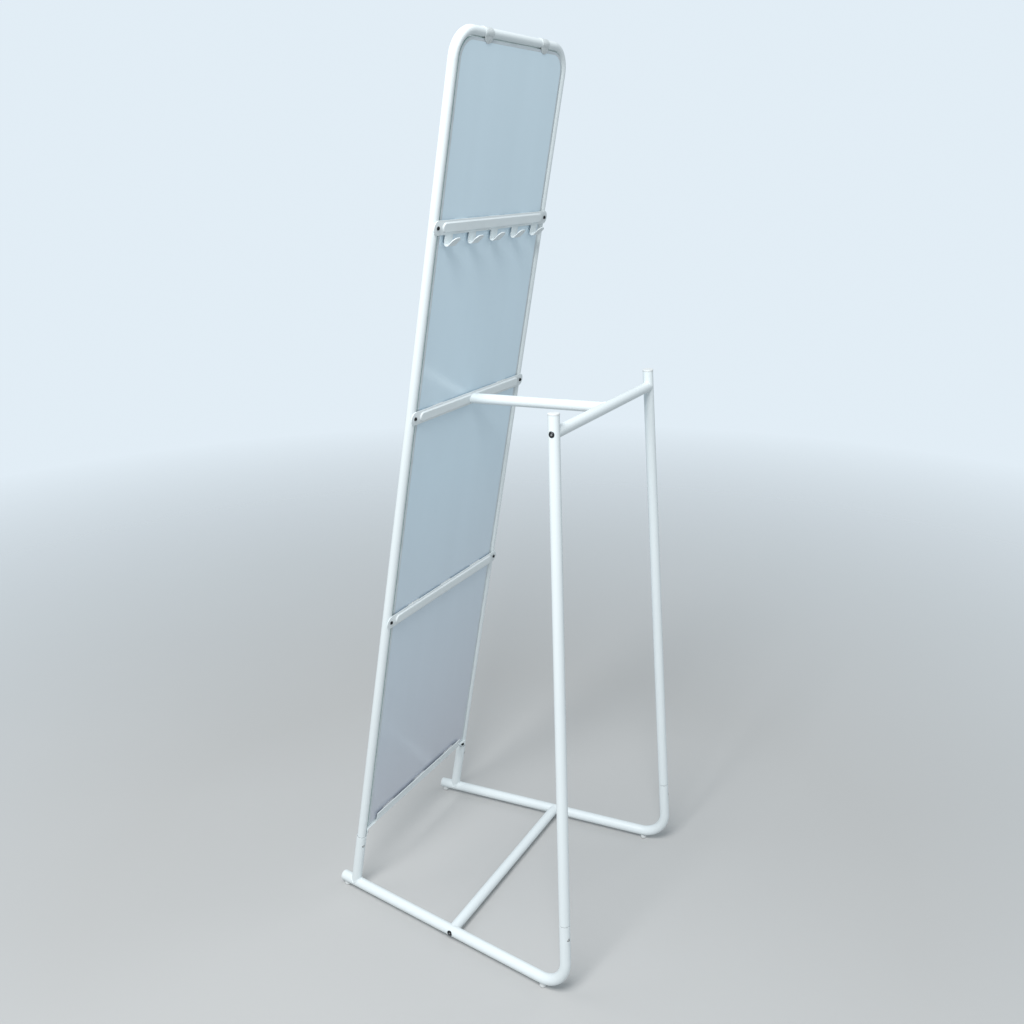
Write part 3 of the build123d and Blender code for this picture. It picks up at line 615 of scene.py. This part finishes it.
# ---- bottom rail ---------------------------------------------------------------------------------
def bottom_rail(materials):
    """Folded channel under the glass with a ledge and a screwed flange at each leg."""
    half = SHEET / 2
    shelf = GLASS_BOTTOM - half
    lip = GLASS_BOTTOM + LIP_HEIGHT
    points = [(RAIL_FRONT + half, GLASS_BOTTOM + FRONT_LIP), (RAIL_FRONT + half, shelf),
              (RAIL_BACK - half, shelf), (RAIL_BACK - half, lip - LIP_FLARE),
              (RAIL_BACK - half + LIP_FLARE, lip)]
    path = smooth_path(points, (1.0 * MM, 1.2 * MM, 0.8 * MM))
    folded = bent_strip(path, 2 * LIP_HALF, SHEET, TROUGH_ROUND, TROUGH_ROUND, on_mirror)
    trough = finish_mesh("trough", folded, materials)
    reach = LEG_X - FRAME_R * sqrt(2)
    parts = []
    for side in (-1, 1):
        near = RAIL_FRONT + 0.4 * MM
        notch = RAIL_BACK - 3 * MM
        corners = [(LIP_HALF - 2 * MM, near, 0.5 * MM), (reach + RAIL_FRONT, near, 0.5 * MM),
                   (reach + RAIL_BACK - 1 * MM, RAIL_BACK, 0.8 * MM),
                   (LIP_HALF + 3 * MM, RAIL_BACK, 0.8 * MM),
                   (LIP_HALF + 2 * MM, notch, 0), (LIP_HALF - 2 * MM, notch, 0.5 * MM)]
        rings = slab(rounded_outline(corners, 5), GLASS_BOTTOM - SHEET + 0.01 * MM, SHEET - 0.02 * MM, EDGE,
                     lambda x, back, up, side=side: on_mirror(side * x, up, back))
        parts.append(finish_mesh("ledge", loft(rings), materials))

        def on_leg(across, up, out, side=side):
            """Point on the plane that touches the inner rear of a leg."""
            depth = FRAME_R + out
            x = LEG_X - (depth - across) / sqrt(2)
            return on_mirror(side * x, GLASS_BOTTOM + up, (depth + across) / sqrt(2))

        width, drop = FLANGE_WIDTH / 2, -FLANGE_DROP
        top = -0.2 * MM
        corners = [(-width, drop, FLANGE_ROUND), (width, drop, FLANGE_ROUND),
                   (width, top, 0.5 * MM), (-width, top, 0.5 * MM)]
        rings = slab(rounded_outline(corners, 8), 0.02 * MM, SHEET, EDGE, on_leg)
        parts.append(finish_mesh("flange", loft(rings), materials))
    return union(trough, *parts)


rail = bottom_rail(coat)
rail.name = "folded_bottom_rail"
stand_for(rail, "white_powder_coat", "bottom_rail")


# ---- glass and film ------------------------------------------------------------------------------
def pane_outline(trim):
    half = LEG_X - FRAME_R - SIDE_GAP - trim
    low = GLASS_BOTTOM + trim
    high = LEG_TOP - FRAME_R - TOP_GAP - trim
    upper = CORNER_R - FRAME_R - SIDE_GAP - trim
    corners = [(-half, low, 2 * MM), (half, low, 2 * MM), (half, high, upper), (-half, high, upper)]
    return rounded_outline(corners, 24)


def mirror_pane():
    """Glass with a silvered front, ground edges and a painted back."""
    rings = slab(pane_outline(0), GLASS_BACK - GLASS, GLASS, 0.5 * MM, on_mirror)
    materials = [MATERIALS["mirror_glass"], glass_edge(), back_paint()]
    pane = finish_mesh("mirror_pane", loft(rings), materials, 30)
    front = -Vector((0, cos(LEAN), -sin(LEAN)))
    for face in pane.data.polygons:
        facing = face.normal.dot(front)
        face.material_index = 0 if facing > 0.99 else 2 if facing < -0.99 else 1
    return pane


def back_film():
    """Thin film on the painted back, with a pale rim along its edge as a painted highlight."""
    outline = pane_outline(FILM_INSET)
    rings = slab(outline, GLASS_BACK, FILM, 0.1 * MM, on_mirror)
    rings.append([on_mirror(x, up, GLASS_BACK + FILM) for x, up in inset(outline, FILM_HIGHLIGHT_RIM)])
    sheet = finish_mesh("back_film", loft(rings), [MATERIALS["safety_film"], film_highlight_rim()], 30)
    for face in sheet.data.polygons:
        face.material_index = 1 if len(face.vertices) == 4 else 0
    return sheet


stand_for(mirror_pane(), "mirror_glass", "mirror_glass")
stand_for(back_film(), "safety_film", "safety_film")


# ---- top clips -----------------------------------------------------------------------------------
def top_clip(name, x):
    """Plastic band over the top tube with a tongue on each face of the glass."""
    radius = FRAME_R + CLIP_THICK / 2 + 0.02 * MM
    front = GLASS_BACK - GLASS - CLIP_SLACK - CLIP_THICK / 2
    rear = GLASS_BACK + FILM + CLIP_SLACK + CLIP_THICK / 2
    blend = radians(8)
    band = arc((0, 0), radius, -acos(front / radius) - blend, -acos(rear / radius) - 2 * pi + blend, 40)
    path = [(front, -CLIP_LIP), (front, -radius - 0.2 * MM), *band, (rear, -CLIP_TONGUE)]
    points = [Vector(point) for point in path]
    mesh = bent_strip(points, CLIP_WIDTH, CLIP_THICK, CLIP_LIP_ROUND, CLIP_TONGUE_ROUND,
                      lambda across, up, back: on_mirror(across, LEG_TOP + up, back), x, CLIP_EDGE)
    return finish_mesh(name, mesh, [MATERIALS["clear_white_plastic"]])


stand_for(top_clip("clip_left", -CLIP_X), "clear_white_plastic", "top_clip_left")
stand_for(top_clip("clip_right", CLIP_X), "clear_white_plastic", "top_clip_right")


# ---- weld beads ----------------------------------------------------------------------------------
STUB_BEAD = 1.1 * MM             # radius of the weld beads
DEPTH_TUBE_BEAD = 0.9 * MM


def weld_bead(name, start, axis, through, size):
    """Rounded weld where a base tube along axis leaves the one that runs through start."""
    axis, through = axis.normalized(), through.normalized()
    side = axis.cross(through).normalized()
    other = axis.cross(side)
    slope = axis - through * axis.dot(through)
    steps, round_steps = 72, 12
    rings = []
    for i in range(steps):
        angle = 2 * pi * i / steps
        out = side * cos(angle) + other * sin(angle)
        base = out * BASE_R
        flat = base - through * base.dot(through)
        a, b, c = slope.dot(slope), 2 * flat.dot(slope), flat.dot(flat) - BASE_R ** 2
        point = base + axis * ((-b + sqrt(max(0.0, b * b - 4 * a * c))) / (2 * a))
        away = (point - through * point.dot(through)).normalized()
        ripple = size * (1 + 0.08 * sin(angle * 17) + 0.05 * sin(angle * 29 + 1))
        middle = start + point + (out + away) * ripple * 0.1
        turns = [2 * pi * k / round_steps for k in range(round_steps)]
        rings.append([middle + (axis * cos(turn) + out * sin(turn)) * ripple for turn in turns])
    return stand_for(finish_mesh(name, loft(rings, closed=True), coat, 60), "white_powder_coat")


for side_name, sign in (("left", -1), ("right", 1)):
    runner_low, runner_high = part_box("runner_" + side_name)
    root = Vector((sign * LEG_X, LEG_Y, RUNNER_Z))
    rear_x = sign * (max(abs(runner_low.x), abs(runner_high.x)) - BASE_R)
    runner_line = Vector((rear_x - root.x, runner_high.y - BASE_R - root.y, 0))
    weld_bead("stub_weld_" + side_name, root, leg_axis, runner_line, STUB_BEAD)

rail_center = (rail_low + rail_high) / 2
tube_front = on_mirror(0, BAR_LEVELS["middle_crossbar"], FRAME_R + SHEET + CHANNEL_RISE)
weld_bead("depth_tube_weld", rail_center, tube_front - rail_center, Vector((1, 0, 0)), DEPTH_TUBE_BEAD)


# ---- bright floors of the bolts' sockets ---------------------------------------------------------
SOCKET_R = 2.4 * MM
SOCKET_DEPTH = 1.75 * MM         # crown of a bolt to the floor of its socket


def socket_floor(name, crown, outward):
    """Slightly domed disc of uncoated zinc at the bottom of a bolt's socket."""
    profile = ((SOCKET_R, 0), (SOCKET_R, 0.25 * MM), (SOCKET_R * 0.8, 0.42 * MM), (SOCKET_R * 0.3, 0.5 * MM))
    rings = lathe(crown - outward * SOCKET_DEPTH, outward, profile)
    return stand_for(finish_mesh(name, loft(rings), [MATERIALS["zinc_insert"]]), "zinc_insert")


for node_name in ("floor_crossbar_bolts", "rack_rail_bolts"):
    bolt_low, bolt_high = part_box(node_name)
    bolt_middle = (bolt_low + bolt_high) / 2
    for side_name, crown_x, sign in (("left", bolt_low.x, -1), ("right", bolt_high.x, 1)):
        crown = Vector((crown_x, bolt_middle.y, bolt_middle.z))
        socket_floor(f"{node_name}_socket_{side_name}", crown, Vector((sign, 0, 0)))


# ---- stage, light and camera ---------------------------------------------------------------------
def floor():
    build = bmesh.new()
    bmesh.ops.create_grid(build, x_segments=24, y_segments=24, size=2 * FLOOR_FADE[1])
    bmesh.ops.translate(build, verts=build.verts, vec=(0, 0, -0.2 * MM))
    finish_mesh("floor", build, [floor_surface()])


def area_light(name, place, target, size, power, mirrored=False):
    data = bpy.data.lights.new(name, "AREA")
    data.shape = "RECTANGLE"
    data.size, data.size_y = size
    data.energy = power
    lamp = bpy.data.objects.new(name, data)
    lamp.location = place
    lamp.visible_glossy = mirrored
    lamp.rotation_euler = (Vector(target) - Vector(place)).to_track_quat("-Z", "Y").to_euler()
    bpy.context.scene.collection.objects.link(lamp)


def world_light(color, strength, backdrop):
    """Soft light from all round, with a pale backdrop behind the object."""
    world = bpy.data.worlds.new("studio")
    world.use_nodes = True
    nodes, links = world.node_tree.nodes, world.node_tree.links
    ambient = nodes["Background"]
    ambient.inputs["Color"].default_value = (*color, 1)
    ambient.inputs["Strength"].default_value = strength
    seen = nodes.new("ShaderNodeBackground")
    seen.inputs["Color"].default_value = (*backdrop, 1)
    path = nodes.new("ShaderNodeLightPath")
    mix = nodes.new("ShaderNodeMixShader")
    links.new(path.outputs["Is Camera Ray"], mix.inputs[0])
    links.new(ambient.outputs["Background"], mix.inputs[1])
    links.new(seen.outputs["Background"], mix.inputs[2])
    links.new(mix.outputs["Shader"], nodes["World Output"].inputs["Surface"])
    bpy.context.scene.world = world


def camera():
    """Three-quarter view from behind, a little above the rack."""
    yaw, pitch, roll = radians(-152.246), radians(-13.139), radians(-0.173)
    forward = Vector((cos(pitch) * cos(yaw), cos(pitch) * sin(yaw), sin(pitch)))
    right = forward.cross(Vector((0, 0, 1))).normalized()
    up = right.cross(forward)
    tilted = right * cos(roll) + up * sin(roll)
    raised = up * cos(roll) - right * sin(roll)
    turn = Matrix((tilted, raised, -forward)).transposed().to_4x4()
    data = bpy.data.cameras.new("camera")
    data.sensor_width = 36
    data.lens = 35.85
    data.shift_x = -0.0375
    data.shift_y = -0.1106
    data.clip_start = 0.02
    lens = bpy.data.objects.new("camera", data)
    lens.matrix_world = Matrix.Translation((1.5399, LEG_Y + 1.1513, 1.3959)) @ turn
    bpy.context.scene.collection.objects.link(lens)
    bpy.context.scene.camera = lens


floor()
world_light((0.82, 0.93, 1.0), 0.47, (0.76, 0.85, 0.92))
area_light("key", (2.15, 0.5, 3.3), (0, 0, 0.7), (1.6, 1.3), 119, mirrored=True)
area_light("side", (1.2, -2.2, 2.6), (0, 0, 0.8), (1.6, 1.6), 12)
area_light("rear_fill", (-2.4, 2.2, 2.4), (0, 0, 0.8), (2.0, 2.0), 14)
camera()
bpy.context.scene.view_settings.view_transform = "Standard"
